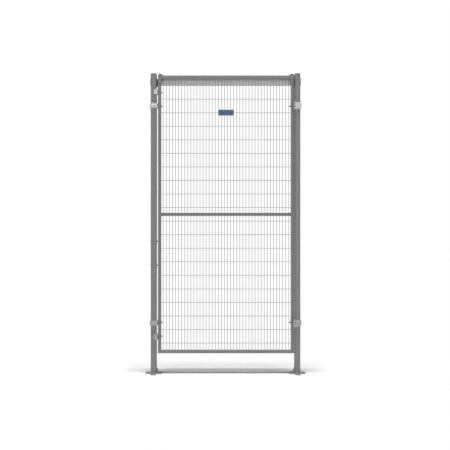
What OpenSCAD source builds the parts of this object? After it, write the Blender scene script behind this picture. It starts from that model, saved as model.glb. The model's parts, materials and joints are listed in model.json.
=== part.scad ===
// Wire mesh door in a two-post portal, machine-guard type.
// Millimetres. Origin on the floor, midway between the posts. The front is towards -Y.

/* [Portal] */
// Width over the outer faces of the two posts
portal_w = 1100; // [1000:10:1300]
// Width of a post tube, left to right
post_w = 40; // [40:5:50]
// Depth of a post tube, front to back
post_d = 60; // [60:5:70]
// Wall of a post tube
post_wall = 2; // [1.5:0.5:3]
// Height of the post tube's top above the floor
post_top = 2208; // [2208:1:2260]

/* [Base plates] */
// Thickness of the cross-shaped base plate
base_t = 8; // [6:1:10]
// Reach of the base plate's side arms, end to end
base_x = 118; // [110:2:130]
// Reach of the base plate's front and back arms, end to end
base_y = 120; // [116:2:130]
// Width of each arm
arm_w = 42; // [40:1:46]
// Diameter of an anchor hole
anchor_d = 12; // [10:1:14]
// Diameter of the circle that the anchor holes lie on
anchor_pcd = 90; // [88:1:92]

/* [Door leaf] */
// Width of the leaf
leaf_w = 1004; // [900:1:1005]
// Height of the leaf
leaf_h = 2050; // [2050:10:2060]
// Gap between the floor and the leaf
leaf_lift = 150; // [140:5:160]
// Gap between the leaf and the post on the hinge side
hinge_gap = 4.5; // [4.5:0.5:6]
// Side of the square frame tube
tube = 23; // [20:1:24]
// Wall of the frame tube
tube_wall = 1.5; // [1:0.25:2]
// Depth of the middle rail, which lies behind the mesh
mid_rail_d = 14; // [12:1:14]

/* [Mesh] */
// Diameter of the wires
wire_d = 3; // [2.5:0.5:3]
// Pitch of the upright wires
upright_pitch = 22.6; // [20:0.1:24]
// Number of upright wires
upright_count = 42; // [30:1:42]
// Pitch of the cross wires
cross_pitch = 100; // [90:5:105]
// Number of cross wires
cross_count = 20; // [16:1:20]

/* [Fittings] */
// Height of the hinges and catches above and below the leaf's centre
hinge_offset = 799; // [700:1:820]
// Height of the stops above and below the leaf's centre
stop_offset = 900; // [880:1:940]
// Height of the hinge knuckles, all three together
hinge_h = 58; // [54:1:64]
// Outer radius of a hinge knuckle
knuckle_r = 7; // [6.5:0.5:7]
// Radius of the hinge pin
pin_r = 4; // [3:0.5:4]
// Height of a catch strap
catch_h = 35; // [30:1:40]
// Height of a stop tab
stop_h = 39; // [34:1:44]
// Thickness of the plates of the fittings
plate_t = 4; // [3:0.5:4]

/* [Header] */
// Height of the header channel
header_h = 46; // [44:1:50]
// Depth of the header channel, front to back
header_d = 30; // [24:1:30]
// Lower edge of the header channel
header_z = 2138; // [2130:1:2142]
// Height of the bracket that hugs the post
saddle_h = 55; // [50:1:58]

/* [Sign holder] */
// Width of the bare plate on the mesh
sign_w = 113; // [90:1:120]
// Height of the bare plate on the mesh
sign_h = 44; // [34:1:50]

/* [Hidden] */
$fn = 48;
eps = 0.5;                          // how far a cutting tool passes its face
post_x = (portal_w - post_w) / 2;   // centre of a post
post_face = post_x - post_w / 2;    // inner face of a post
post_out = post_x + post_w / 2;     // outer face of a post
post_front = -post_d / 2;
post_back = post_d / 2;
post_corner = 4;
cap_t = 4;                          // plate of a post cap
cap_plug = 25;                      // how far a cap's plug reaches into the tube

leaf_r = post_face - hinge_gap;     // hinge edge of the leaf
leaf_l = leaf_r - leaf_w;           // latch edge of the leaf
leaf_cx = (leaf_l + leaf_r) / 2;
leaf_top = leaf_lift + leaf_h;
leaf_cz = leaf_lift + leaf_h / 2;
tube_corner = 2;
tube_front = -tube / 2;
wire_r = wire_d / 2;
cross_y = tube_front + wire_r;      // plane of the cross wires
upright_y = cross_y + wire_d;       // plane of the upright wires, behind them
mid_rail_y = upright_y + wire_r;    // front of the middle rail, on the upright wires

bolt_r = 4;                         // M8
bolt_hole_r = 4.3;
head_af = 13;                       // across flats of an M8 head and nut
head_t = 5.3;
nut_t = 6.5;
latch_tip = 3;                      // bolt past its nut on the latch side
hinge_tip = 8;                      // bolt past its nut on the hinge side
csk_r = 7.5;                        // countersunk head of the hinge bolts

pin_x = leaf_r - 3;                 // hinge axis
pin_y = post_front - 9;
pin_play = 0.08;                    // running clearance round the pin
washer_t = 1;
leaf_knuckle_h = 25;
end_knuckle_h = (hinge_h - leaf_knuckle_h) / 2 - washer_t;
knuckle_play = 0.1;                 // free gap at each end of the leaf's knuckle
clamp_end_h = 42;                   // height of the clamp on the post's outer side
clamp_side_d = 46;                  // reach of the clamp's side plate, front to back
clamp_bolt_r = 5;
clamp_bolt_y = -8;
dome_r = 21;                        // domed head that pulls the clamp tight
dome_t = 5.2;
leaf_plate_back = 8;                // rear edge of the plates bolted to the leaf
hinge_z = [leaf_cz - hinge_offset, leaf_cz + hinge_offset];

strap_gap = 1;                      // strap to the post's front face
lip_gap = 1.5;                      // strap's lip to the post's outer face
lip_d = 22;                         // reach of the lip round the post's outer edge
strap_l = -post_out - lip_gap - plate_t;
strap_front = post_front - strap_gap - plate_t;
buffer_t = 4;
buffer_r = 9;
stop_l = -527;                      // free end of a stop tab
stop_front = post_front - 0.3 - buffer_t - plate_t;
stop_z = [leaf_cz - stop_offset, leaf_cz + stop_offset];
cross_bolt_z = [800, 975];          // bolts through the latch post

header_y = 19;                      // front of the header channel
header_wall = 2;
header_end = 504;
ear_t = 3;                          // plate of the header bracket's ear
ear_y = header_y - ear_t;
ear_w = 40;                         // reach of the ear above the header
ear_flat = 16;                      // level part of the ear's top edge
ear_top = 2220;
ear_shoulder = ear_top - 13;
ear_neck = 486;                     // inner edge of the ear in front of the header
saddle_z = 2123;
saddle_t = 4;
saddle_front = -20;
header_bolt_x = 494;
header_bolt_z = [header_z + 13, header_z + header_h - 13];
header_bolt_r = 3;
header_head_r = 6.5;
header_head_t = 3;
gusset_h = 40;
gusset_x = 11;
gusset_t = 6;

sign_t = 3;
sign_z = leaf_lift + 75 + 17 * cross_pitch;
sign_border = 6;
sign_recess = 0.8;
sign_back_w = 90;
sign_back_h = 30;
sign_screw_r = 1.5;
sign_screw_x = upright_pitch;       // in a gap between upright wires

paint = "#7b7c7d";
zinc = "#b9bbbd";
steel = "#6d6e70";

// ---------- small shapes ----------

// Upright rounded bar, centred in X and Y, from z0 to z1
module rounded_bar(w, d, r, z0, z1) {
    h = z1 - z0;
    translate([-w / 2 + r, -d / 2, z0]) cube([w - 2 * r, d, h]);
    translate([-w / 2, -d / 2 + r, z0]) cube([w, d - 2 * r, h]);
    for (x = [-1, 1], y = [-1, 1])
        translate([x * (w / 2 - r), y * (d / 2 - r), z0]) cylinder(r = r, h = h);
}

// Round bar along X, from x0 to x1
module rod_x(r, x0, x1, y, z) {
    translate([x0, y, z]) rotate([0, 90, 0]) cylinder(r = r, h = x1 - x0);
}

// Round bar along Y, from y0 to y1
module rod_y(r, y0, y1, x, z) {
    translate([x, y0, z]) rotate([-90, 0, 0]) cylinder(r = r, h = y1 - y0);
}

// Hexagon along X, af across flats
module hex_x(af, x0, x1, y, z) {
    translate([x0, y, z]) rotate([0, 90, 0]) cylinder(r = af / sqrt(3), h = x1 - x0, $fn = 6);
}

// Hexagon along Y
module hex_y(af, y0, y1, x, z) {
    translate([x, y0, z]) rotate([-90, 0, 0]) cylinder(r = af / sqrt(3), h = y1 - y0, $fn = 6);
}

// Plate in the X-Z plane with round corners, from y0 to y1
module plate_xz(x0, x1, z0, z1, y0, y1, r) {
    translate([x0 + r, y0, z0]) cube([x1 - x0 - 2 * r, y1 - y0, z1 - z0]);
    translate([x0, y0, z0 + r]) cube([x1 - x0, y1 - y0, z1 - z0 - 2 * r]);
    for (x = [x0 + r, x1 - r], z = [z0 + r, z1 - r]) rod_y(r, y0, y1, x, z);
}

// Plate in the Y-Z plane with round corners at its y1 edge, from x0 to x1
module plate_yz(x0, x1, y0, y1, z0, z1, r) {
    translate([x0, y0, z0]) cube([x1 - x0, y1 - y0 - r, z1 - z0]);
    translate([x0, y0, z0 + r]) cube([x1 - x0, y1 - y0, z1 - z0 - 2 * r]);
    for (z = [z0 + r, z1 - r]) rod_x(r, x0, x1, y1 - r, z);
}

// Spherical cap on the +X side of x0, with foot radius r and height h
module dome_x(r, h, x0, y, z) {
    ball = (r * r + h * h) / (2 * h);
    half_angle = asin(r / ball);
    steps = 8;
    arc = [for (i = [0:steps]) let (a = half_angle * (1 - i / steps))
        [ball * sin(a), h - ball * (1 - cos(a))]];
    translate([x0, y, z]) rotate([0, 90, 0]) rotate_extrude() polygon(concat([[0, 0]], arc));
}

// ---------- portal ----------

module post_tube() {
    translate([post_x, 0, 0]) difference() {
        rounded_bar(post_w, post_d, post_corner, base_t, post_top);
        rounded_bar(post_w - 2 * post_wall, post_d - 2 * post_wall,
                    post_corner - post_wall, base_t - eps, post_top + eps);
    }
}

module right_post() {
    color(paint) difference() {
        post_tube();
        for (z = hinge_z)
            rod_x(clamp_bolt_r + 0.3, post_out - post_wall - eps, post_out + eps, clamp_bolt_y, z);
    }
}

module left_post() {
    color(paint) difference() {
        mirror([1, 0, 0]) post_tube();
        for (z = cross_bolt_z)
            rod_x(bolt_hole_r, -post_out - eps, -post_face + eps, 0, z);
    }
}

module post_cap() {
    inner_w = post_w - 2 * post_wall;
    inner_d = post_d - 2 * post_wall;
    color(paint) translate([post_x, 0, 0]) {
        rounded_bar(post_w, post_d, post_corner, post_top, post_top + cap_t - 1);
        rounded_bar(post_w - 2, post_d - 2, post_corner - 1,
                    post_top + cap_t - 1, post_top + cap_t);
        difference() {
            rounded_bar(inner_w, inner_d, 2, post_top - cap_plug, post_top);
            rounded_bar(inner_w - 4, inner_d - 4, 1, post_top - cap_plug - eps, post_top - 2);
        }
    }
}

module base_plate() {
    arm_r = 10;
    color(paint) translate([post_x, 0, 0]) difference() {
        union() {
            rounded_bar(base_x, arm_w, arm_r, 0, base_t);
            rounded_bar(arm_w, base_y, arm_r, 0, base_t);
        }
        for (a = [0:90:270]) rotate([0, 0, a])
            translate([anchor_pcd / 2, 0, -eps]) cylinder(d = anchor_d, h = base_t + 2 * eps);
    }
}

// Stiffener in the corner of post and base plate, on the doorway side
module foot_gusset() {
    slope_h = 18;
    color(paint) translate([post_face, gusset_t / 2, base_t]) rotate([90, 0, 0])
        linear_extrude(gusset_t)
            polygon([[0, 0], [-gusset_x, 0], [-gusset_x, gusset_h - slope_h], [0, gusset_h]]);
}

module header_channel() {
    color(zinc) difference() {
        translate([-header_end, header_y, header_z]) cube([2 * header_end, header_d, header_h]);
        translate([-header_end - eps, header_y + header_wall, header_z + header_wall])
            cube([2 * header_end + 2 * eps, header_d, header_h - 2 * header_wall]);
        for (s = [-1, 1], z = header_bolt_z)
            rod_y(header_bolt_r + 0.3, header_y - eps, header_y + header_wall + eps,
                  s * header_bolt_x, z);
    }
}

// Saddle round the back of the post, with an ear behind the leaf that carries the header.
// leaf_edge is where the leaf's edge is, seen from the middle of the doorway.
module header_bracket(leaf_edge) {
    saddle_top = saddle_z + saddle_h;
    header_top = header_z + header_h;
    color(paint) difference() {
        union() {
            translate([post_out, saddle_front, saddle_z])
                cube([saddle_t, post_back - saddle_front + saddle_t, saddle_h]);
            translate([post_face - ear_t, post_back, saddle_z])
                cube([post_w + ear_t + saddle_t, saddle_t, saddle_h]);
            translate([post_face - ear_t, ear_y, saddle_z])
                cube([ear_t, post_back - ear_y + saddle_t, saddle_h]);
            translate([0, header_y, 0]) rotate([90, 0, 0]) linear_extrude(ear_t)
                polygon([[post_face, saddle_z], [ear_neck, saddle_z], [ear_neck, header_top],
                         [leaf_edge - ear_w, header_top], [leaf_edge - ear_w, ear_shoulder],
                         [leaf_edge - ear_flat, ear_top], [leaf_edge, ear_top],
                         [leaf_edge, saddle_top], [post_face, saddle_top]]);
        }
        for (z = header_bolt_z)
            rod_y(header_bolt_r + 0.3, ear_y - eps, header_y + eps, header_bolt_x, z);
    }
}

module header_bolts() {
    color(steel) for (s = [-1, 1], z = header_bolt_z) {
        rod_y(header_head_r, ear_y - header_head_t, ear_y, s * header_bolt_x, z);
        rod_y(header_bolt_r, ear_y, header_y + header_wall + nut_t, s * header_bolt_x, z);
    }
}

module header_nuts() {
    y0 = header_y + header_wall;
    color(steel) for (s = [-1, 1], z = header_bolt_z) difference() {
        hex_y(10, y0, y0 + 5, s * header_bolt_x, z);
        rod_y(header_bolt_r, y0 - eps, y0 + 5 + eps, s * header_bolt_x, z);
    }
}

// Screw heads that hold the saddles to the backs of the posts
module bracket_screws() {
    y0 = post_back + saddle_t;
    color(steel) for (s = [-1, 1], z = [saddle_z + 15, saddle_z + saddle_h - 15])
        hex_y(10, y0, y0 + 4, s * post_x, z);
}

// ---------- leaf ----------

// Round-cornered square bar along X from x0 to x1, with one side on z = low
module square_bar_x(w, r, low, x0, x1) {
    translate([0, -tube / 2, low + w / 2]) rotate([0, 90, 0]) rounded_bar(w, w, r, x0, x1);
}

// Square tube along X with mitred ends: long side at z = 0, short side at z = tube
module mitred_tube(length) {
    cutter = 2 * tube;
    difference() {
        square_bar_x(tube, tube_corner, 0, 0, length);
        square_bar_x(tube - 2 * tube_wall, tube_corner - tube_wall, tube_wall, -eps, length + eps);
        rotate([0, -45, 0]) translate([-eps, -tube - eps, 0]) cube([cutter, tube + 2 * eps, cutter]);
        translate([length, 0, 0]) rotate([0, 45, 0]) translate([eps - cutter, -tube - eps, 0])
            cube([cutter, tube + 2 * eps, cutter]);
    }
}

module bottom_rail() {
    color(paint) translate([leaf_l, -tube_front, leaf_lift]) mitred_tube(leaf_w);
}

module top_rail() {
    color(paint) translate([leaf_l, tube_front, leaf_top]) rotate([180, 0, 0])
        mitred_tube(leaf_w);
}

// Fittings' bolt holes go right through a stile
module stile_holes(heights) {
    for (z = heights) rod_x(bolt_hole_r, leaf_l - eps, leaf_r + eps, 0, z);
}

module latch_stile() {
    color(paint) difference() {
        translate([leaf_l, -tube_front, leaf_top]) rotate([0, 90, 0]) mitred_tube(leaf_h);
        stile_holes(concat(hinge_z, stop_z));
    }
}

module hinge_stile() {
    color(paint) difference() {
        translate([leaf_r, -tube_front, leaf_lift]) rotate([0, -90, 0]) mitred_tube(leaf_h);
        stile_holes(hinge_z);
    }
}

module middle_rail() {
    span = leaf_w - 2 * tube;
    color(paint) translate([leaf_l + tube, mid_rail_y, leaf_cz - tube / 2]) difference() {
        cube([span, mid_rail_d, tube]);
        translate([-eps, tube_wall, tube_wall])
            cube([span + 2 * eps, mid_rail_d - 2 * tube_wall, tube - 2 * tube_wall]);
    }
}

module upright_wires() {
    first = leaf_cx - (upright_count - 1) / 2 * upright_pitch;
    color(paint) for (i = [0:upright_count - 1])
        translate([first + i * upright_pitch, upright_y, leaf_lift + tube])
            cylinder(r = wire_r, h = leaf_h - 2 * tube);
}

module cross_wires() {
    first = leaf_cz - (cross_count - 1) / 2 * cross_pitch;
    color(paint) for (i = [0:cross_count - 1])
        rod_x(wire_r, leaf_l + tube, leaf_r - tube, cross_y, first + i * cross_pitch);
}

// ---------- hinges ----------

module knuckle(z0, h) {
    translate([pin_x, pin_y, z0]) cylinder(r = knuckle_r, h = h);
}

module pin_bore(z, r) {
    translate([pin_x, pin_y, z - hinge_h / 2 - eps]) cylinder(r = r, h = hinge_h + 2 * eps);
}

// Clamp on the post: tapered front plate, side plate and the two end knuckles
module hinge_clamp(z) {
    half = hinge_h / 2;
    end_half = clamp_end_h / 2;
    notch_half = leaf_knuckle_h / 2 + washer_t;
    color(zinc) difference() {
        union() {
            translate([0, post_front, z]) rotate([90, 0, 0]) linear_extrude(plate_t)
                polygon([[pin_x, -half], [post_out + plate_t, -end_half],
                         [post_out + plate_t, end_half], [pin_x, half]]);
            plate_yz(post_out, post_out + plate_t, post_front, post_front + clamp_side_d,
                     z - end_half, z + end_half, 10);
            knuckle(z - half, end_knuckle_h);
            knuckle(z + half - end_knuckle_h, end_knuckle_h);
        }
        translate([pin_x - knuckle_r - 1, post_front - 25, z - notch_half])
            cube([post_face + 3 - pin_x + knuckle_r, 26, 2 * notch_half]);
        pin_bore(z, pin_r);
        rod_x(clamp_bolt_r + 0.3, post_out - eps, post_out + plate_t + eps, clamp_bolt_y, z);
    }
}

// Plate on the leaf's edge with the middle knuckle
module hinge_leaf(z) {
    h = leaf_knuckle_h - 2 * knuckle_play;
    wide_h = 50;
    color(zinc) difference() {
        union() {
            knuckle(z - h / 2, h);
            translate([leaf_r, pin_y, z - h / 2]) cube([plate_t, -pin_y - 20, h]);
            plate_yz(leaf_r, leaf_r + plate_t, -21, leaf_plate_back,
                     z - wide_h / 2, z + wide_h / 2, 6);
        }
        pin_bore(z, pin_r + pin_play);
        rod_x(bolt_hole_r, leaf_r - eps, leaf_r + plate_t + eps, 0, z);
        translate([leaf_r + plate_t - (csk_r - bolt_hole_r), 0, z]) rotate([0, 90, 0])
            cylinder(r1 = bolt_hole_r, r2 = csk_r + eps, h = csk_r - bolt_hole_r + eps);
    }
}

module hinge_pin(z) {
    head_r = 5.5;
    head_h = 2;
    color(steel) translate([pin_x, pin_y, z]) {
        translate([0, 0, -hinge_h / 2 - head_h]) cylinder(r = pin_r, h = hinge_h + head_h);
        translate([0, 0, hinge_h / 2]) cylinder(r = head_r, h = head_h);
    }
}

module hinge_washers() {
    lift = leaf_knuckle_h / 2;
    color("whitesmoke") for (z = hinge_z, z0 = [z - lift - washer_t, z + lift])
        translate([pin_x, pin_y, z0]) difference() {
            cylinder(r = knuckle_r - 0.4, h = washer_t);
            translate([0, 0, -eps]) cylinder(r = pin_r, h = washer_t + 2 * eps);
        }
}

module hinge_clamp_bolts() {
    color(zinc) for (z = hinge_z) {
        dome_x(dome_r, dome_t, post_out + plate_t, clamp_bolt_y, z);
        rod_x(clamp_bolt_r, post_out - 16, post_out + plate_t, clamp_bolt_y, z);
    }
}

module hinge_clamp_nuts() {
    x1 = post_out - post_wall;
    color(steel) for (z = hinge_z) difference() {
        hex_x(17, x1 - 8, x1, clamp_bolt_y, z);
        rod_x(clamp_bolt_r, x1 - 8 - eps, x1 + eps, clamp_bolt_y, z);
    }
}

module hinge_leaf_bolts() {
    flush = leaf_r + plate_t;
    cone_h = csk_r - bolt_hole_r;
    color(steel) for (z = hinge_z) {
        rod_x(bolt_r, leaf_r - tube - nut_t - hinge_tip, flush - cone_h, 0, z);
        translate([flush - cone_h, 0, z]) rotate([0, 90, 0])
            cylinder(r1 = bolt_hole_r, r2 = csk_r, h = cone_h);
    }
}

module hinge_leaf_nuts() {
    x1 = leaf_r - tube;
    color(steel) for (z = hinge_z) difference() {
        hex_x(head_af, x1 - nut_t, x1, 0, z);
        rod_x(bolt_r, x1 - nut_t - eps, x1 + eps, 0, z);
    }
}

// ---------- catches and stops on the latch edge ----------

// Plate against the leaf's latch edge that carries a catch or a stop
module edge_arm(front, z, h) {
    plate_yz(leaf_l - plate_t, leaf_l, front, leaf_plate_back, z - h / 2, z + h / 2, 6);
}

// Strap across the front of the post, with a lip round the post's outer edge
module catch_strap(z) {
    half = catch_h / 2;
    lip_back = post_front + lip_d;
    color(zinc) difference() {
        union() {
            plate_xz(strap_l, leaf_l, z - half, z + half, strap_front, strap_front + plate_t, 3);
            plate_yz(strap_l, strap_l + plate_t, strap_front, lip_back, z - half, z + half, 10);
            edge_arm(strap_front, z, catch_h);
            plate_xz(strap_l + 8, leaf_l - 12, z - 7, z + 7, strap_front - 1.5, strap_front, 6.5);
        }
        rod_x(bolt_hole_r, leaf_l - plate_t - eps, leaf_l + eps, 0, z);
    }
}

// Tab in front of the post's inner half, which stops the leaf swinging through
module stop_tab(z) {
    half = stop_h / 2;
    color(zinc) difference() {
        union() {
            plate_xz(stop_l, leaf_l - 0.1, z - half, z + half,
                     stop_front, stop_front + plate_t, 12);
            translate([leaf_l - 14, stop_front, z - half]) cube([14, plate_t, stop_h]);
            edge_arm(stop_front, z, stop_h);
        }
        rod_x(bolt_hole_r, leaf_l - plate_t - eps, leaf_l + eps, 0, z);
    }
}

module stop_buffer(z) {
    color("#2a2a2b")
        rod_y(buffer_r, stop_front + plate_t, stop_front + plate_t + buffer_t,
              stop_l + 4 + buffer_r, z);
}

module latch_bolts(heights) {
    head_x = leaf_l - plate_t;
    color(steel) for (z = heights) {
        hex_x(head_af, head_x - head_t, head_x, 0, z);
        rod_x(bolt_r, head_x, leaf_l + tube + nut_t + latch_tip, 0, z);
    }
}

module latch_nuts(heights) {
    x0 = leaf_l + tube;
    color(steel) for (z = heights) difference() {
        hex_x(head_af, x0, x0 + nut_t, 0, z);
        rod_x(bolt_r, x0 - eps, x0 + nut_t + eps, 0, z);
    }
}

module lock_post_bolts() {
    color(steel) for (z = cross_bolt_z) {
        hex_x(head_af, -post_out - head_t, -post_out, 0, z);
        rod_x(bolt_r, -post_out, -post_face + nut_t + 2, 0, z);
    }
}

module lock_post_nuts() {
    color(steel) for (z = cross_bolt_z) difference() {
        hex_x(head_af, -post_face, -post_face + nut_t, 0, z);
        rod_x(bolt_r, -post_face - eps, -post_face + nut_t + eps, 0, z);
    }
}

// ---------- bare sign holder on the mesh ----------

sign_y = tube_front - sign_t;
sign_back_y = upright_y + wire_r;

module sign_holder() {
    color("#77797c") difference() {
        plate_xz(leaf_cx - sign_w / 2, leaf_cx + sign_w / 2, sign_z - sign_h / 2,
                 sign_z + sign_h / 2, sign_y, sign_y + sign_t, 3);
        translate([leaf_cx - sign_w / 2 + sign_border, sign_y - eps,
                   sign_z - sign_h / 2 + sign_border])
            cube([sign_w - 2 * sign_border, sign_recess + eps + 0.7, sign_h - 2 * sign_border]);
        for (s = [-1, 1])
            rod_y(sign_screw_r, sign_y, sign_y + sign_t + eps, leaf_cx + s * sign_screw_x,
                  sign_z - 8);
    }
}

module sign_face() {
    inset = sign_border;
    color("#3f6a96") translate([leaf_cx - sign_w / 2 + inset, sign_y + sign_recess,
                                sign_z - sign_h / 2 + inset])
        cube([sign_w - 2 * inset, 0.7, sign_h - 2 * inset]);
}

module sign_back_plate() {
    color("#77797c") difference() {
        plate_xz(leaf_cx - sign_back_w / 2, leaf_cx + sign_back_w / 2, sign_z - sign_back_h / 2,
                 sign_z + sign_back_h / 2, sign_back_y, sign_back_y + 2, 3);
        for (s = [-1, 1])
            rod_y(sign_screw_r, sign_back_y - eps, sign_back_y + 2 + eps,
                  leaf_cx + s * sign_screw_x, sign_z - 8);
    }
}

module sign_screws() {
    color(steel) for (s = [-1, 1]) {
        rod_y(sign_screw_r, sign_y + 1.5, sign_back_y + 2, leaf_cx + s * sign_screw_x, sign_z - 8);
        rod_y(3, sign_back_y + 2, sign_back_y + 4, leaf_cx + s * sign_screw_x, sign_z - 8);
    }
}

left_post();
right_post();
mirror([1, 0, 0]) post_cap();  // left_post_cap
post_cap();  // right_post_cap
mirror([1, 0, 0]) base_plate();  // left_base_plate
base_plate();  // right_base_plate
mirror([1, 0, 0]) foot_gusset();  // left_foot_gusset
foot_gusset();  // right_foot_gusset
header_channel();
mirror([1, 0, 0]) header_bracket(-leaf_l);  // left_header_bracket
header_bracket(leaf_r);  // right_header_bracket
header_bolts();
header_nuts();
bracket_screws();
latch_stile();
hinge_stile();
top_rail();
bottom_rail();
middle_rail();
upright_wires();
cross_wires();
hinge_clamp(hinge_z[1]);  // upper_hinge_clamp
hinge_clamp(hinge_z[0]);  // lower_hinge_clamp
hinge_leaf(hinge_z[1]);  // upper_hinge_leaf
hinge_leaf(hinge_z[0]);  // lower_hinge_leaf
hinge_pin(hinge_z[1]);  // upper_hinge_pin
hinge_pin(hinge_z[0]);  // lower_hinge_pin
hinge_washers();
hinge_clamp_bolts();
hinge_clamp_nuts();
hinge_leaf_bolts();
hinge_leaf_nuts();
catch_strap(hinge_z[1]);  // upper_catch
catch_strap(hinge_z[0]);  // lower_catch
latch_bolts(hinge_z);  // catch_bolts
latch_nuts(hinge_z);  // catch_nuts
stop_tab(stop_z[1]);  // upper_stop
stop_tab(stop_z[0]);  // lower_stop
stop_buffer(stop_z[1]);  // upper_stop_buffer
stop_buffer(stop_z[0]);  // lower_stop_buffer
latch_bolts(stop_z);  // stop_bolts
latch_nuts(stop_z);  // stop_nuts
lock_post_bolts();
lock_post_nuts();
sign_holder();
sign_face();
sign_back_plate();
sign_screws();
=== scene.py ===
"""Looks for the wire mesh door in its two-post portal. Front towards -Y, up along +Z."""

import json
from math import cos, pi, radians, sin, sqrt, tan, tau

import bmesh
import bpy
from mathutils import Matrix, Vector, noise


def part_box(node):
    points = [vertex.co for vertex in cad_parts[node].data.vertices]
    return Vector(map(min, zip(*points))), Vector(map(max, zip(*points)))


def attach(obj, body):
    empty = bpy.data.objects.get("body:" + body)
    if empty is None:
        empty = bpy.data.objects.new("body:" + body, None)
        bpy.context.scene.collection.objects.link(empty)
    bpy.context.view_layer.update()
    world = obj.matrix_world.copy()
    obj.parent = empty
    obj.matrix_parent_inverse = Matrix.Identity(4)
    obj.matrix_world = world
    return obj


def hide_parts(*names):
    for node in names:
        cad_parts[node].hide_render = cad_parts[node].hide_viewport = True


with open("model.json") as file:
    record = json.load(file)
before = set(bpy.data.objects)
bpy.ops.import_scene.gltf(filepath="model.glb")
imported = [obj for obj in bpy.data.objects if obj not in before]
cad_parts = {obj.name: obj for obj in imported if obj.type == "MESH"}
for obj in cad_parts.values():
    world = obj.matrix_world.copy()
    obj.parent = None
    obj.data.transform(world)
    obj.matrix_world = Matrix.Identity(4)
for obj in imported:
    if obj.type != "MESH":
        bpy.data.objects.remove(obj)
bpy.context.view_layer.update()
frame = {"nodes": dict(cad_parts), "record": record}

MM = 0.001                  # the scene is in metres
CREASE = radians(32)        # edges that turn by more than this stay hard


def node_facts():
    """Body and material slot of every node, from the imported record."""
    facts = {}
    for body, members in frame["record"]["behaviour"]["bodies"].items():
        for node in members:
            facts[node] = {"body": body}
    for row in frame["record"]["subparts"]:
        facts[row["node"]]["slot"] = row["material_slot"]
    return facts


FACTS = node_facts()


# ---------- materials ----------

def new_material(name):
    material = bpy.data.materials.new(name)
    material.use_nodes = True
    nodes = material.node_tree.nodes
    return material, nodes, material.node_tree.links, nodes["Principled BSDF"]


def grain(nodes, links, scale, detail=4.0, rough=0.6, stretch=(1, 1, 1)):
    """Noise on the object's own coordinates, so that it has the same size everywhere."""
    place = nodes.new("ShaderNodeTexCoord")
    scaled = nodes.new("ShaderNodeMapping")
    scaled.inputs["Scale"].default_value = stretch
    texture = nodes.new("ShaderNodeTexNoise")
    texture.inputs["Scale"].default_value = scale
    texture.inputs["Detail"].default_value = detail
    texture.inputs["Roughness"].default_value = rough
    links.new(place.outputs["Object"], scaled.inputs["Vector"])
    links.new(scaled.outputs["Vector"], texture.inputs["Vector"])
    return texture.outputs["Fac"]


def cells(nodes, links, scale):
    """One random value per crystal, as on galvanised sheet."""
    place = nodes.new("ShaderNodeTexCoord")
    texture = nodes.new("ShaderNodeTexVoronoi")
    texture.inputs["Scale"].default_value = scale
    split = nodes.new("ShaderNodeSeparateColor")
    links.new(place.outputs["Object"], texture.inputs["Vector"])
    links.new(texture.outputs["Color"], split.inputs["Color"])
    return split.outputs["Red"]


def remap(nodes, links, value, low, high):
    """Spreads a value from 0 to 1 over the range from low to high."""
    node = nodes.new("ShaderNodeMapRange")
    node.inputs["To Min"].default_value = low
    node.inputs["To Max"].default_value = high
    links.new(value, node.inputs["Value"])
    return node.outputs["Result"]


def shades(nodes, links, value, dark, light, start=0.3, end=0.7):
    """Colour that turns from dark to light as value goes from start to end."""
    ramp = nodes.new("ShaderNodeValToRGB")
    ramp.color_ramp.elements[0].position = start
    ramp.color_ramp.elements[1].position = end
    ramp.color_ramp.elements[0].color = (*dark, 1)
    ramp.color_ramp.elements[1].color = (*light, 1)
    links.new(value, ramp.inputs["Fac"])
    return ramp.outputs["Color"]


def blended(nodes, links, first, second, share):
    """Colour with the given share of the second one."""
    mixer = nodes.new("ShaderNodeMix")
    mixer.data_type = "RGBA"
    mixer.inputs["Factor"].default_value = share
    links.new(first, mixer.inputs["A"])
    links.new(second, mixer.inputs["B"])
    return mixer.outputs["Result"]


def uneven_gloss(nodes, links, shader, value, roughness, spread):
    """Roughness that follows value, up to spread above and below its mean."""
    links.new(remap(nodes, links, value, roughness - spread, roughness + spread),
              shader.inputs["Roughness"])


def bump(nodes, links, shader, value, depth):
    node = nodes.new("ShaderNodeBump")
    node.inputs["Strength"].default_value = 1.0
    node.inputs["Distance"].default_value = depth
    links.new(value, node.inputs["Height"])
    links.new(node.outputs["Normal"], shader.inputs["Normal"])


def grey(value):
    """Grey with a trace of blue."""
    return (value, value * 1.005, value * 1.01)


def powder_coat(name, tone, roughness=0.46):
    """Satin powder coat: an even grey with orange peel and a faint drift in tone."""
    material, nodes, links, shader = new_material(name)
    drift = grain(nodes, links, 5.0, detail=3.0)
    fleck = grain(nodes, links, 900.0, detail=2.0)
    base = shades(nodes, links, drift, grey(tone * 0.94), grey(tone * 1.05))
    flecked = shades(nodes, links, fleck, grey(tone * 0.88), grey(tone * 1.12), 0.35, 0.65)
    links.new(blended(nodes, links, base, flecked, 0.35), shader.inputs["Base Color"])
    links.new(remap(nodes, links, drift, roughness - 0.05, roughness + 0.06),
              shader.inputs["Roughness"])
    shader.inputs["Specular IOR Level"].default_value = 0.4
    peel = grain(nodes, links, 420.0, detail=3.0, rough=0.5)
    bump(nodes, links, shader, peel, 0.2 * MM)
    return material


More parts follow.
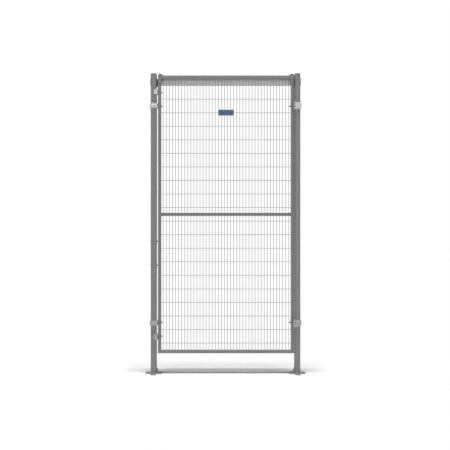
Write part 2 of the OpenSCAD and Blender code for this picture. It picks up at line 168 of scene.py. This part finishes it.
def plated_metal(name, tone, roughness, metallic, crystal, contrast, brush=0.0):
    """Zinc coat: crystals that differ in tone and gloss, over a fine grain.

    brush, from 0 to 1, stretches the grain into upright strokes.
    """
    material, nodes, links, shader = new_material(name)
    spangle = cells(nodes, links, crystal)
    cloud = grain(nodes, links, 14.0, detail=5.0)
    fine = grain(nodes, links, 700.0, detail=3.0, stretch=(1, 1, 1 - 0.97 * brush))
    crystals = shades(nodes, links, spangle, grey(tone * (1 - contrast)),
                      grey(tone * (1 + contrast)), 0.0, 1.0)
    clouds = shades(nodes, links, cloud, grey(tone * 0.86), grey(tone * 1.08))
    links.new(blended(nodes, links, crystals, clouds, 0.5), shader.inputs["Base Color"])
    uneven_gloss(nodes, links, shader, spangle, roughness, 0.07)
    shader.inputs["Metallic"].default_value = metallic
    bump(nodes, links, shader, fine, 0.06 * MM)
    return material


def moulded(name, dark, light, roughness, texture_scale=800.0, depth=0.08 * MM):
    """Moulded plastic or rubber with a fine spark-eroded texture."""
    material, nodes, links, shader = new_material(name)
    drift = grain(nodes, links, 30.0, detail=4.0)
    fine = grain(nodes, links, texture_scale, detail=2.0)
    links.new(shades(nodes, links, drift, dark, light), shader.inputs["Base Color"])
    uneven_gloss(nodes, links, shader, fine, roughness, 0.06)
    shader.inputs["Specular IOR Level"].default_value = 0.3
    bump(nodes, links, shader, fine, depth)
    return material


PAINT_TONE = 0.24
MATERIALS = {
    "grey_paint": powder_coat("powder_coat_grey", PAINT_TONE),
    # The real wires wear the frame's coat. Their darker tone here (0.76 of it) is painted shade,
    # and it also makes the thin wires show as strongly as thicker ones.
    "painted_wire": powder_coat("wire_coat_painted_shade", PAINT_TONE * 0.76, roughness=0.5),
    "zinc_plate": plated_metal("zinc_plate", tone=0.35, roughness=0.36, metallic=0.85,
                               crystal=260.0, contrast=0.15, brush=0.6),
    "header_galvanised": plated_metal("galvanised_sheet", tone=0.5, roughness=0.5,
                                      metallic=0.3, crystal=120.0, contrast=0.07),
    "fastener_steel": plated_metal("dark_zinc_steel", tone=0.27, roughness=0.38,
                                   metallic=0.8, crystal=500.0, contrast=0.08),
    "cap_plastic": moulded("cap_plastic", grey(0.21), grey(0.245), roughness=0.55),
    "white_nylon": moulded("white_nylon", (0.66, 0.66, 0.63), (0.74, 0.74, 0.71),
                           roughness=0.5),
    "black_rubber": moulded("black_rubber", grey(0.018), grey(0.028), roughness=0.75,
                            texture_scale=500.0, depth=0.1 * MM),
    "grey_plastic": moulded("grey_plastic", (0.19, 0.22, 0.25), (0.205, 0.235, 0.265),
                            roughness=0.5),
    "blue_plastic": moulded("blue_plastic", (0.052, 0.135, 0.26), (0.062, 0.158, 0.29),
                            roughness=0.45),
}


# ---------- mesh helpers ----------

class Shape:
    """Vertices and faces, to which one closed form after another is added."""

    def __init__(self):
        self.verts = []
        self.faces = []

    def add(self, verts, faces, place=Matrix.Identity(4)):
        first = len(self.verts)
        self.verts += [place @ Vector(v) for v in verts]
        self.faces += [[first + i for i in face] for face in faces]
        return self


def rings_shape(rings):
    """Skin over rings that all have the same number of points, closed at both ends."""
    count = len(rings[0])
    verts = [p for ring in rings for p in ring]
    faces = []
    for k in range(len(rings) - 1):
        a, b = k * count, (k + 1) * count
        faces += [(a + i, a + (i + 1) % count, b + (i + 1) % count, b + i) for i in range(count)]
    faces.append(tuple(reversed(range(count))))
    faces.append(tuple(range((len(rings) - 1) * count, len(rings) * count)))
    return verts, faces


def circle(radius, height, count):
    """Points round Z."""
    return [(radius * cos(tau * i / count), radius * sin(tau * i / count), height)
            for i in range(count)]


def lathe(profile, count):
    """Round solid about Z through (radius, height) points."""
    return rings_shape([circle(r, h, count) for r, h in profile])


def aim(point, axis):
    """Puts a shape made along +Z at point, along axis."""
    return Matrix.Translation(point) @ Vector(axis).to_track_quat("Z", "Y").to_matrix().to_4x4()


def turn_normals_outward(mesh):
    bm = bmesh.new()
    bm.from_mesh(mesh)
    bmesh.ops.recalc_face_normals(bm, faces=bm.faces)
    bm.to_mesh(mesh)
    bm.free()


def linked_object(name, data):
    obj = bpy.data.objects.new(name, data)
    bpy.context.scene.collection.objects.link(obj)
    return obj


def piece(name, shape, body, slot, node=None):
    """Makes the object, with its material, on its body, in place of a node if one is given."""
    mesh = bpy.data.meshes.new(name)
    mesh.from_pydata(shape.verts, [], shape.faces)
    turn_normals_outward(mesh)
    mesh.shade_smooth()
    mesh.set_sharp_from_angle(angle=CREASE)
    mesh.materials.append(MATERIALS[slot])
    obj = linked_object(name, mesh)
    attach(obj, body)
    if node:
        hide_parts(node)
    return obj


def rounded_node(node, width):
    """The node's own solid with its hard edges broken, as bent, cut and coated steel has them."""
    weld_distance = 0.002 * MM
    flat_angle = radians(0.3)
    bm = bmesh.new()
    bm.from_mesh(frame["nodes"][node].data)
    bmesh.ops.remove_doubles(bm, verts=bm.verts, dist=weld_distance)
    bmesh.ops.dissolve_limit(bm, angle_limit=flat_angle, verts=bm.verts, edges=bm.edges)
    shape = Shape().add([v.co for v in bm.verts], [[v.index for v in f.verts] for f in bm.faces])
    bm.free()
    obj = piece(node + "_coated", shape, FACTS[node]["body"], FACTS[node]["slot"], node)
    edge = obj.modifiers.new("broken_edges", "BEVEL")
    edge.width = width
    edge.segments = 2
    edge.limit_method = "ANGLE"
    edge.angle_limit = CREASE
    edge.harden_normals = True
    return obj


# ---------- camera and stage ----------

CAMERA_PLACE = (-0.004, -4.40, 1.0965)
LENS, SENSOR = 47.6, 36     # mm
FLOOR_REACH = 30.0          # from the object to each edge of the floor


def make_camera():
    """Level camera straight in front of the door, as in the photo."""
    data = bpy.data.cameras.new("camera")
    data.lens = LENS
    data.sensor_width = SENSOR
    camera = linked_object("camera", data)
    camera.location = CAMERA_PLACE
    camera.rotation_euler = (radians(90), 0, 0)
    bpy.context.scene.camera = camera


def make_world(ambient, mirrored):
    """A white backdrop, a dim even light for the object, and paler walls in its reflections."""
    world = bpy.data.worlds.new("studio")
    bpy.context.scene.world = world
    world.use_nodes = True
    nodes, links = world.node_tree.nodes, world.node_tree.links
    backdrop = nodes["Background"]
    backdrop.inputs["Color"].default_value = (1, 1, 1, 1)
    backdrop.inputs["Strength"].default_value = 1.0
    path = nodes.new("ShaderNodeLightPath")
    light = nodes.new("ShaderNodeBackground")
    light.inputs["Color"].default_value = (1, 1, 1, 1)
    strength = remap(nodes, links, path.outputs["Is Glossy Ray"], ambient, mirrored)
    links.new(strength, light.inputs["Strength"])
    mixer = nodes.new("ShaderNodeMixShader")
    links.new(path.outputs["Is Camera Ray"], mixer.inputs["Fac"])
    links.new(light.outputs["Background"], mixer.inputs[1])
    links.new(backdrop.outputs["Background"], mixer.inputs[2])
    links.new(mixer.outputs["Shader"], nodes["World Output"].inputs["Surface"])


def make_floor():
    mesh = bpy.data.meshes.new("floor")
    corners = [(x * FLOOR_REACH, y * FLOOR_REACH, 0)
               for x, y in ((-1, -1), (1, -1), (1, 1), (-1, 1))]
    mesh.from_pydata(corners, [], [(0, 1, 2, 3)])
    material, nodes, links, shader = new_material("floor_white")
    tint = shades(nodes, links, grain(nodes, links, 2.0), (0.88, 0.88, 0.88), (0.90, 0.90, 0.90))
    links.new(tint, shader.inputs["Base Color"])
    shader.inputs["Roughness"].default_value = 0.9
    shader.inputs["Specular IOR Level"].default_value = 0.0
    mesh.materials.append(material)
    floor = linked_object("floor", mesh)


def sun(name, strength, tilt, lean, spread):
    """Sun at tilt degrees from overhead towards the front, and lean degrees to the right."""
    data = bpy.data.lights.new(name, "SUN")
    data.energy = strength
    data.angle = radians(spread)
    toward_sun = Vector((tan(radians(lean)), -tan(radians(tilt)), 1))
    linked_object(name, data).rotation_euler = toward_sun.to_track_quat("Z", "Y").to_euler()


make_camera()
make_world(ambient=0.04, mirrored=0.5)
make_floor()
# Two fans of suns give the floor shadow its dark core and its longer, paler band.
for lean, share in ((-5.4, 1.3), (-1.8, 0.7), (1.8, 0.7), (5.4, 1.3)):
    sun("overhead_sun", strength=0.492 * share, tilt=2.6, lean=lean, spread=2.2)
    sun("leaning_sun", strength=0.31 * share, tilt=7.0, lean=lean, spread=5.0)
sun("front_sun", strength=0.66, tilt=70.0, lean=0.0, spread=35.0)
bpy.context.scene.view_settings.view_transform = "Standard"


# ---------- carried-over solids with broken edges ----------

EDGE_WIDTH = {              # mm taken off the edges of each node
    "left_post": 0.25, "right_post": 0.25, "left_post_cap": 0.7, "right_post_cap": 0.7,
    "left_base_plate": 0.9, "right_base_plate": 0.9,
    "left_foot_gusset": 0.8, "right_foot_gusset": 0.8,
    "header_channel": 0.7, "left_header_bracket": 0.8, "right_header_bracket": 0.8,
    "latch_stile": 0.6, "hinge_stile": 0.6, "top_rail": 0.6, "bottom_rail": 0.6,
    "middle_rail": 0.6,
    "upper_hinge_clamp": 0.5, "lower_hinge_clamp": 0.5,
    "upper_hinge_leaf": 0.35, "lower_hinge_leaf": 0.35,
    "hinge_washers": 0.12,
    "upper_catch": 0.6, "lower_catch": 0.6, "upper_stop": 0.6, "lower_stop": 0.6,
    "sign_holder": 0.4, "sign_face": 0.1, "sign_back_plate": 0.4,
}
for node, width in EDGE_WIDTH.items():
    rounded_node(node, width * MM)

for node in ("upright_wires", "cross_wires", "hinge_clamp_nuts"):
    mesh = frame["nodes"][node].data
    mesh.materials.clear()
    mesh.materials.append(MATERIALS[FACTS[node]["slot"]])


# ---------- fasteners ----------

AROUND = 48                 # points round a turned or hexagonal piece
BOLT_R = 4 * MM             # M8, with its thread pitch, hexagon and nut
PITCH = 1.25 * MM
HEAD_AF = 13 * MM
HEAD_T = 5.3 * MM
NUT_T = 6.5 * MM
SMALL_BOLT_R = 3 * MM       # M6, with its thread pitch and hexagon
SMALL_PITCH = 1.0 * MM
SMALL_AF = 10 * MM
SHANK = 0.97                # radius of a plain shank, as a share of the thread's
TURNED = 0.46               # radius of a hexagon's round face, as a share of its width
SOCKET_MOUTH = 1.08         # width of a socket's mouth, as a share of the socket's
FLANGE_T = 1.3 * MM         # flange of a flanged nut or screw
CONE = tan(radians(30))     # slope that turns the corners off a hexagon


def hex_radius(angle, across):
    return across / 2 / cos(angle % (pi / 3) - pi / 6)


def hex_ring(across, height, drop=0.0):
    """Hexagonal ring. drop 1 or -1 lowers or lifts its corners along the turned cone."""
    untouched = 0.475 * across
    ring = []
    for i in range(AROUND):
        angle = tau * i / AROUND
        radius = hex_radius(angle, across)
        fall = drop * max(0.0, radius - untouched) * CONE
        ring.append((radius * cos(angle), radius * sin(angle), height - fall))
    return ring


def round_ring(radius, height):
    return circle(radius, height, AROUND)


def flange_rings(radius):
    """Flange under a hexagon, FLANGE_T thick."""
    return [round_ring(radius, 0), round_ring(radius, 0.7 * MM),
            round_ring(radius - 0.5 * MM, 0.9 * FLANGE_T)]


def add_rings(shape, rings, place):
    shape.add(*rings_shape(rings), place)


def hex_head(shape, place, across=HEAD_AF, height=HEAD_T, flange=0.0):
    """Bolt head on z = 0: washer face or flange, hexagon and turned top with a dimple."""
    if flange:
        base, rings = FLANGE_T, flange_rings(flange)
    else:
        base = 0.4 * MM
        rings = [round_ring(TURNED * across, 0), round_ring(0.47 * across, base)]
    rings += [hex_ring(across, base, -1), hex_ring(across, height, 1),
              round_ring(TURNED * across, height), round_ring(0.30 * across, height),
              round_ring(0.27 * across, height - 0.25 * MM)]
    add_rings(shape, rings, place)


def hex_nut(shape, place, across=HEAD_AF, height=NUT_T, bore=BOLT_R, flange=0.0):
    """Nut on z = 0 with turned corners and a countersunk mouth."""
    if flange:
        base, rings = FLANGE_T, flange_rings(flange)
    else:
        base, rings = 0.3 * MM, [round_ring(TURNED * across, 0)]
    mouth = 0.7 * MM
    rings += [hex_ring(across, base, -1), hex_ring(across, height, 1),
              round_ring(TURNED * across, height), round_ring(bore + mouth, height),
              round_ring(bore, height - mouth)]
    add_rings(shape, rings, place)


def threaded_bar(shape, place, radius, low, high, pitch=PITCH):
    """Rolled thread whose crest climbs one pitch a turn, with a pointed end."""
    per_pitch = 6           # rings
    depth = 0.5 * pitch
    count = AROUND // 2
    steps = max(2, round((high - low) / pitch * per_pitch))
    rings = []
    for k in range(steps + 1):
        height = low + (high - low) * k / steps
        ring = []
        for i in range(count):
            turn = i / count
            phase = (height / pitch - turn) % 1
            r = radius - depth * abs(2 * phase - 1)
            r = min(r, radius - 0.9 * pitch + (high - height))
            ring.append((r * cos(tau * turn), r * sin(tau * turn), height))
        rings.append(ring)
    add_rings(shape, rings, place)


def shank(shape, place, radius, low, high):
    add_rings(shape, [round_ring(radius, low), round_ring(radius, high)], place)


def hex_bolt(shape, start, axis, length, threaded):
    """M8 bolt whose head sits on start, with its shank along axis."""
    along = aim(start, axis)
    hex_head(shape, aim(start, -Vector(axis)))
    shank(shape, along, SHANK * BOLT_R, 0, length - threaded + PITCH)
    threaded_bar(shape, along, BOLT_R, length - threaded, length)


def socket_head(shape, place, radius, height, socket):
    """Button head on z = 0 with a hexagonal socket in its crown."""
    crown = 0.35            # share of the radius that is rounded
    rim = 0.12 * height
    steps = 6
    socket_floor = 0.35 * height
    rings = [round_ring(0.96 * radius, 0), round_ring(radius, rim)]
    for k in range(1, steps + 1):
        a = radians(90) * k / steps
        r = radius * (1 - crown) + radius * crown * cos(a)
        rings.append(round_ring(r, rim + (height - rim) * sin(a)))
    rings += [hex_ring(SOCKET_MOUTH * socket, height), hex_ring(socket, height - 0.2 * MM),
              hex_ring(socket, socket_floor), round_ring(0.1 * socket, 0.22 * height)]
    add_rings(shape, rings, place)


def heights(kind):
    """Middle height of the lower and of the upper fitting of a kind."""
    boxes = [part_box(level + "_" + kind) for level in ("lower", "upper")]
    return [(low.z + high.z) / 2 for low, high in boxes]


LEAF_LOW, LEAF_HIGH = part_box("top_rail")
LEAF_L, LEAF_R = LEAF_LOW.x, LEAF_HIGH.x
LEAF_FRONT, LEAF_BACK = LEAF_LOW.y, LEAF_HIGH.y
TUBE = LEAF_BACK - LEAF_FRONT
LEAF_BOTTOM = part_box("bottom_rail")[0].z
LEAF_TOP = LEAF_HIGH.z
PLATE = 4 * MM              # plates of the catches, stops and hinge leaves
FLANGE_R = 8.6 * MM         # flange of the M8 nuts


def latch_edge_fasteners(kind):
    """Bolts and nuts through the latch stile, for the catches or the stops."""
    bolts, nuts = Shape(), Shape()
    tip = 3 * MM            # thread past the nut
    threaded = NUT_T + tip
    for z in heights(kind):
        hex_bolt(bolts, (LEAF_L - PLATE, 0, z), (1, 0, 0), PLATE + TUBE + threaded, threaded)
        hex_nut(nuts, aim((LEAF_L + TUBE, 0, z), (1, 0, 0)), flange=FLANGE_R)
    piece(kind + "_hex_bolts", bolts, "door", "fastener_steel", kind + "_bolts")
    piece(kind + "_flange_nuts", nuts, "door", "fastener_steel", kind + "_nuts")


def lock_fasteners():
    """The two bolts that cross the latch post."""
    bolts, nuts = Shape(), Shape()
    outer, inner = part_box("left_post")[0].x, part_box("left_post")[1].x
    low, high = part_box("lock_post_bolts")
    half = HEAD_AF / 2
    tip = 2 * MM            # thread past the nut
    threaded = NUT_T + tip
    for z in (low.z + half, high.z - half):
        hex_bolt(bolts, (outer, 0, z), (1, 0, 0), inner - outer + threaded, threaded)
        hex_nut(nuts, aim((inner, 0, z), (1, 0, 0)))
    piece("lock_hex_bolts", bolts, "portal", "fastener_steel", "lock_post_bolts")
    piece("lock_hex_nuts", nuts, "portal", "fastener_steel", "lock_post_nuts")


def hinge_leaf_fasteners():
    """Countersunk bolts, flush in the hinge leaves, and their nuts inside the leaf."""
    bolts, nuts = Shape(), Shape()
    head_r, hole_r, socket = 7.5 * MM, 4.3 * MM, 5 * MM
    cone = head_r - hole_r
    tip = 8 * MM            # thread past the nut
    plain = PLATE + TUBE
    length = plain + NUT_T + tip
    for z in heights("hinge_clamp"):
        place = aim((LEAF_R + PLATE, 0, z), (-1, 0, 0))
        add_rings(bolts, [round_ring(0.2 * socket, 2.8 * MM), hex_ring(socket, 2.4 * MM),
                          hex_ring(socket, 0.2 * MM), hex_ring(SOCKET_MOUTH * socket, 0),
                          round_ring(head_r - 0.3 * MM, 0), round_ring(head_r, 0.25 * MM),
                          round_ring(hole_r, cone), round_ring(SHANK * BOLT_R, cone + 0.2 * MM),
                          round_ring(SHANK * BOLT_R, plain)], place)
        threaded_bar(bolts, place, BOLT_R, plain - PITCH, length)
        hex_nut(nuts, aim((LEAF_R - TUBE, 0, z), (-1, 0, 0)), flange=FLANGE_R)
    piece("hinge_countersunk_bolts", bolts, "door", "fastener_steel", "hinge_leaf_bolts")
    piece("hinge_flange_nuts", nuts, "door", "fastener_steel", "hinge_leaf_nuts")


def hinge_dome_bolts():
    """Domed bolt heads on the hinge clamps, on the outer side of the hinge post."""
    shape = Shape()
    low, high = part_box("hinge_clamp_bolts")
    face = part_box("upper_hinge_clamp")[1].x
    rim, rise = (high.y - low.y) / 2, high.x - face
    y = (high.y + low.y) / 2
    lip = 0.8 * MM
    steps = 10
    profile = [(rim - 0.3 * MM, 0), (rim, 0.3 * MM), (rim, lip)]
    for k in range(1, steps):
        a = radians(90) * k / steps
        profile.append((rim * cos(a) ** 0.8, lip + (rise - lip) * sin(a)))
    profile.append((0.4 * MM, rise))
    for z in heights("hinge_clamp"):
        shape.add(*lathe(profile, AROUND), aim((face, y, z), (1, 0, 0)))
        shank(shape, aim((face, y, z), (-1, 0, 0)), 5 * MM, 0, 20 * MM)
    piece("hinge_dome_bolts", shape, "portal", "zinc_plate", "hinge_clamp_bolts")


def hinge_pins():
    pin_r, head_h = 4 * MM, 2 * MM
    for side in ("upper", "lower"):
        node = side + "_hinge_pin"
        low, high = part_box(node)
        head_r, height = (high.x - low.x) / 2, high.z - low.z
        profile = [(pin_r - 0.8 * MM, 0), (pin_r - 0.1 * MM, 0.7 * MM), (pin_r, 0.8 * MM),
                   (pin_r, height - head_h), (head_r - 0.2 * MM, height - head_h),
                   (head_r, height - head_h + 0.2 * MM), (head_r, height - 0.9 * MM),
                   (head_r - 0.3 * MM, height - 0.4 * MM), (head_r - 0.9 * MM, height - 0.1 * MM),
                   (head_r * 0.5, height), (0.4 * MM, height)]
        foot = ((low.x + high.x) / 2, (low.y + high.y) / 2, low.z)
        shape = Shape().add(*lathe(profile, AROUND), aim(foot, (0, 0, 1)))
        piece(node + "_turned", shape, "portal", "fastener_steel", node)


def header_fasteners():
    """Button bolts and nuts between the brackets' ears and the header, and the saddle screws."""
    bolts, nuts, screws = Shape(), Shape(), Shape()
    low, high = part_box("header_bolts")
    head_r, head_h, socket = 6.5 * MM, 3 * MM, 4 * MM
    plain = 3 * MM
    ear_front = low.y + head_h
    nut_low, nut_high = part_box("header_nuts")
    x = high.x - head_r
    for side in (-1, 1):
        for z in (low.z + head_r, high.z - head_r):
            head_place = aim((side * x, ear_front, z), (0, -1, 0))
            socket_head(bolts, head_place, head_r, head_h, socket)
            along = aim((side * x, ear_front, z), (0, 1, 0))
            shank(bolts, along, 0.96 * SMALL_BOLT_R, 0, plain)
            threaded_bar(bolts, along, SMALL_BOLT_R, plain - SMALL_PITCH, high.y - ear_front,
                         SMALL_PITCH)
            hex_nut(nuts, aim((side * x, nut_low.y, z), (0, 1, 0)), SMALL_AF,
                    nut_high.y - nut_low.y, SMALL_BOLT_R)
    low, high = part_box("bracket_screws")
    half = SMALL_AF / 2
    x = (high.x - low.x) / 2 - SMALL_AF / sqrt(3)
    for side in (-1, 1):
        for z in (low.z + half, high.z - half):
            hex_head(screws, aim((side * x, low.y, z), (0, 1, 0)), SMALL_AF, high.y - low.y,
                     6.8 * MM)
    piece("header_button_bolts", bolts, "portal", "fastener_steel", "header_bolts")
    piece("header_hex_nuts", nuts, "portal", "fastener_steel", "header_nuts")
    piece("saddle_flange_screws", screws, "portal", "fastener_steel", "bracket_screws")


def sign_screws():
    shape = Shape()
    low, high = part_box("sign_screws")
    head_r, head_h, socket, screw_r = (high.z - low.z) / 2, 2 * MM, 2.4 * MM, 1.5 * MM
    seat = high.y - head_h
    for x in (low.x + head_r, high.x - head_r):
        point = (x, seat, (low.z + high.z) / 2)
        socket_head(shape, aim(point, (0, 1, 0)), head_r, head_h, socket)
        shank(shape, aim(point, (0, -1, 0)), screw_r, 0, seat - low.y)
    piece("sign_socket_screws", shape, "door", "fastener_steel", "sign_screws")


def stop_buffers():
    """Rubber buttons behind the stop tabs, hollow in the middle."""
    for side in ("upper", "lower"):
        node = side + "_stop_buffer"
        low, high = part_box(node)
        radius, thick = (high.x - low.x) / 2, high.y - low.y
        hollow = thick - 0.5 * MM
        profile = [(radius - 0.2 * MM, 0), (radius, 0.3 * MM), (radius, thick - 1.0 * MM),
                   (radius - 0.3 * MM, thick - 0.4 * MM), (radius - 1.0 * MM, thick),
                   (radius * 0.62, thick), (radius * 0.56, hollow), (radius * 0.35, hollow),
                   (0.3 * MM, hollow)]
        root = ((low.x + high.x) / 2, low.y, (low.z + high.z) / 2)
        shape = Shape().add(*lathe(profile, AROUND), aim(root, (0, 1, 0)))
        piece(node + "_moulded", shape, "door", "black_rubber", node)


latch_edge_fasteners("catch")
latch_edge_fasteners("stop")
lock_fasteners()
hinge_leaf_fasteners()
hinge_dome_bolts()
hinge_pins()
header_fasteners()
sign_screws()
stop_buffers()


# ---------- welds ----------

RIPPLE = 2.4 * MM           # length of one ripple of a weld bead
BEAD_STEP = 0.6 * MM        # from one ring of a bead to the next


def fillet_bead(shape, stations, up, leg):
    """Weld along the corner of two plates. Each station is a point and the way out from it."""
    up = Vector(up)
    sunk = 0.3 * MM         # the bead's root, inside the plates
    rings = []
    travelled = 0.0
    last = None
    for point, out in stations:
        point, out = Vector(point), Vector(out)
        if last is not None:
            travelled += (point - last).length
        last = point
        ripple = (travelled / RIPPLE) % 1
        unevenness = 0.05 * noise.noise(point * 260)
        size = leg * (0.93 + 0.14 * sqrt(1 - ripple) + unevenness)
        ring = [point - sunk * (out + up)]
        for k in range(5):
            a = radians(90) * k / 4
            swell = 0.80 + 0.20 * abs(cos(2 * a))
            ring.append(point + size * swell * (cos(a) * out + sin(a) * up))
        rings.append([tuple(v) for v in ring])
    shape.add(*rings_shape(rings))


def straight_stations(start, end, out):
    start, end = Vector(start), Vector(end)
    count = max(2, round((end - start).length / BEAD_STEP))
    return [(start.lerp(end, k / count), out) for k in range(count + 1)]


def rounded_outline(low, high, radius, z):
    """Points round a rounded rectangle, each with its outward direction."""
    arc_steps = 6
    left, right = low.x + radius, high.x - radius
    front, back = low.y + radius, high.y - radius
    arcs = []
    for x, y, start in ((right, back, 0), (left, back, 90), (left, front, 180),
                        (right, front, 270)):
        arc = []
        for i in range(arc_steps + 1):
            a = radians(start + 90 * i / arc_steps)
            out = Vector((cos(a), sin(a), 0))
            arc.append((Vector((x, y, z)) + radius * out, out))
        arcs.append(arc)
    stations = []
    for arc, following in zip(arcs, arcs[1:] + arcs[:1]):
        stations += arc
        start, (end, out) = arc[-1][0], following[0]
        count = round((end - start).length / BEAD_STEP)
        stations += [(start.lerp(end, i / count), out) for i in range(1, count)]
    stations.append(stations[0])
    return stations


def foot_welds(side):
    """Beads round the post and along the stiffener, on the base plate."""
    shape = Shape()
    post_low, post_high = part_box(side + "_post")
    plate_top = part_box(side + "_base_plate")[1].z
    corner_r, post_leg, gusset_leg = 4 * MM, 4.2 * MM, 2.6 * MM
    fillet_bead(shape, rounded_outline(post_low, post_high, corner_r, plate_top), (0, 0, 1),
                post_leg)
    low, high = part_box(side + "_foot_gusset")
    root_x, tip_x, inward = (low.x, high.x, 1) if side == "left" else (high.x, low.x, -1)
    for y, way in ((low.y, -1), (high.y, 1)):
        root, out = (root_x, y, plate_top), (0, way, 0)
        fillet_bead(shape, straight_stations(root, (tip_x, y, plate_top), out), (0, 0, 1),
                    gusset_leg)
        fillet_bead(shape, straight_stations(root, (root_x, y, high.z - 2 * MM), out),
                    (inward, 0, 0), gusset_leg)
    piece(side + "_foot_weld_beads", shape, "portal", "grey_paint")


def seam_bead(shape, start, end, normal, width, height):
    """Low dressed weld on a flat face, from start to end."""
    start, end, normal = Vector(start), Vector(end), Vector(normal)
    length = (end - start).length
    across = (end - start).normalized().cross(normal)
    root = -0.2 * MM * normal
    count = max(4, round(length / (0.7 * MM)))
    rings = []
    for k in range(count + 1):
        t = k / count
        point = start.lerp(end, t)
        ripple = (t * length / RIPPLE) % 1
        run_in = min(1.0, 8 * t + 0.25, 8 * (1 - t) + 0.25)
        rise = height * (0.8 + 0.2 * sqrt(1 - ripple)) * run_in
        half = width / 2 * (1 + 0.08 * noise.noise(point * 200))
        ring = [point + root - half * across]
        for j in range(5):
            a = radians(180) * j / 4
            ring.append(point - half * cos(a) * across + rise * sin(a) * normal)
        ring.append(point + root + half * across)
        rings.append([tuple(v) for v in ring])
    shape.add(*rings_shape(rings))


def leaf_welds():
    """Mitre seams on the leaf's corners and fillets where the middle rail meets the stiles."""
    shape = Shape()
    margin = 0.06           # share of a mitre left bare at each end
    seam_width, seam_height, rail_leg = 3.4 * MM, 0.45 * MM, 2.8 * MM
    for x, inner_x in ((LEAF_L, LEAF_L + TUBE), (LEAF_R, LEAF_R - TUBE)):
        for z, inner_z in ((LEAF_BOTTOM, LEAF_BOTTOM + TUBE), (LEAF_TOP, LEAF_TOP - TUBE)):
            for y, way in ((LEAF_FRONT, -1), (LEAF_BACK, 1)):
                outer, inner = Vector((x, y, z)), Vector((inner_x, y, inner_z))
                seam_bead(shape, outer.lerp(inner, margin), outer.lerp(inner, 1 - margin),
                          (0, way, 0), seam_width, seam_height)
    low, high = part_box("middle_rail")
    for x, way in ((low.x, 1), (high.x, -1)):
        for z, rise in ((low.z, -1), (high.z, 1)):
            stations = straight_stations((x, low.y + 1 * MM, z), (x, high.y, z), (0, 0, rise))
            fillet_bead(shape, stations, (way, 0, 0), rail_leg)
    piece("leaf_weld_beads", shape, "door", "grey_paint")


UPRIGHT_COUNT = 42
CROSS_COUNT = 20


def evenly(first, last, count):
    return [first + (last - first) * i / (count - 1) for i in range(count)]


def wire_places():
    """Radius of a wire, X of each upright and Z of each cross wire, from the nodes' boxes."""
    low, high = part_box("upright_wires")
    wire_r = (high.y - low.y) / 2
    xs = evenly(low.x + wire_r, high.x - wire_r, UPRIGHT_COUNT)
    low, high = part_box("cross_wires")
    zs = evenly(low.z + wire_r, high.z - wire_r, CROSS_COUNT)
    return wire_r, xs, zs


def mesh_welds():
    """Squeezed metal at each crossing of the mesh, and a collar where a wire meets the frame."""
    crossings, collars = Shape(), Shape()
    wire_r, xs, zs = wire_places()
    contact_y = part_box("cross_wires")[1].y
    upright_y = contact_y + wire_r
    cross_y = contact_y - wire_r
    bulge = [(0.25, -1.0), (0.85, -0.62), (1.0, 0.0), (0.85, 0.62), (0.25, 1.0)]
    nugget_r, nugget_half = 1.25 * wire_r, 0.75 * wire_r
    nugget = lathe([(r * nugget_r, h * nugget_half) for r, h in bulge], 10)
    for x in xs:
        for z in zs:
            grow = 1 + 0.12 * noise.noise(Vector((x, 0, z)) * 37)
            place = aim((x, contact_y, z), (0, 1, 0)) @ Matrix.Scale(grow, 4)
            crossings.add(*nugget, place)
    collar = lathe([(1.55 * wire_r, -0.3 * MM), (1.5 * wire_r, 0.3 * MM),
                    (1.25 * wire_r, 0.9 * MM), (1.03 * wire_r, 2.0 * MM)], 14)
    for x in xs:
        collars.add(*collar, aim((x, upright_y, LEAF_BOTTOM + TUBE), (0, 0, 1)))
        collars.add(*collar, aim((x, upright_y, LEAF_TOP - TUBE), (0, 0, -1)))
    for z in zs:
        collars.add(*collar, aim((LEAF_L + TUBE, cross_y, z), (1, 0, 0)))
        collars.add(*collar, aim((LEAF_R - TUBE, cross_y, z), (-1, 0, 0)))
    piece("mesh_crossing_welds", crossings, "door", "painted_wire")
    piece("mesh_frame_welds", collars, "door", "painted_wire")


foot_welds("left")
foot_welds("right")
leaf_welds()
mesh_welds()
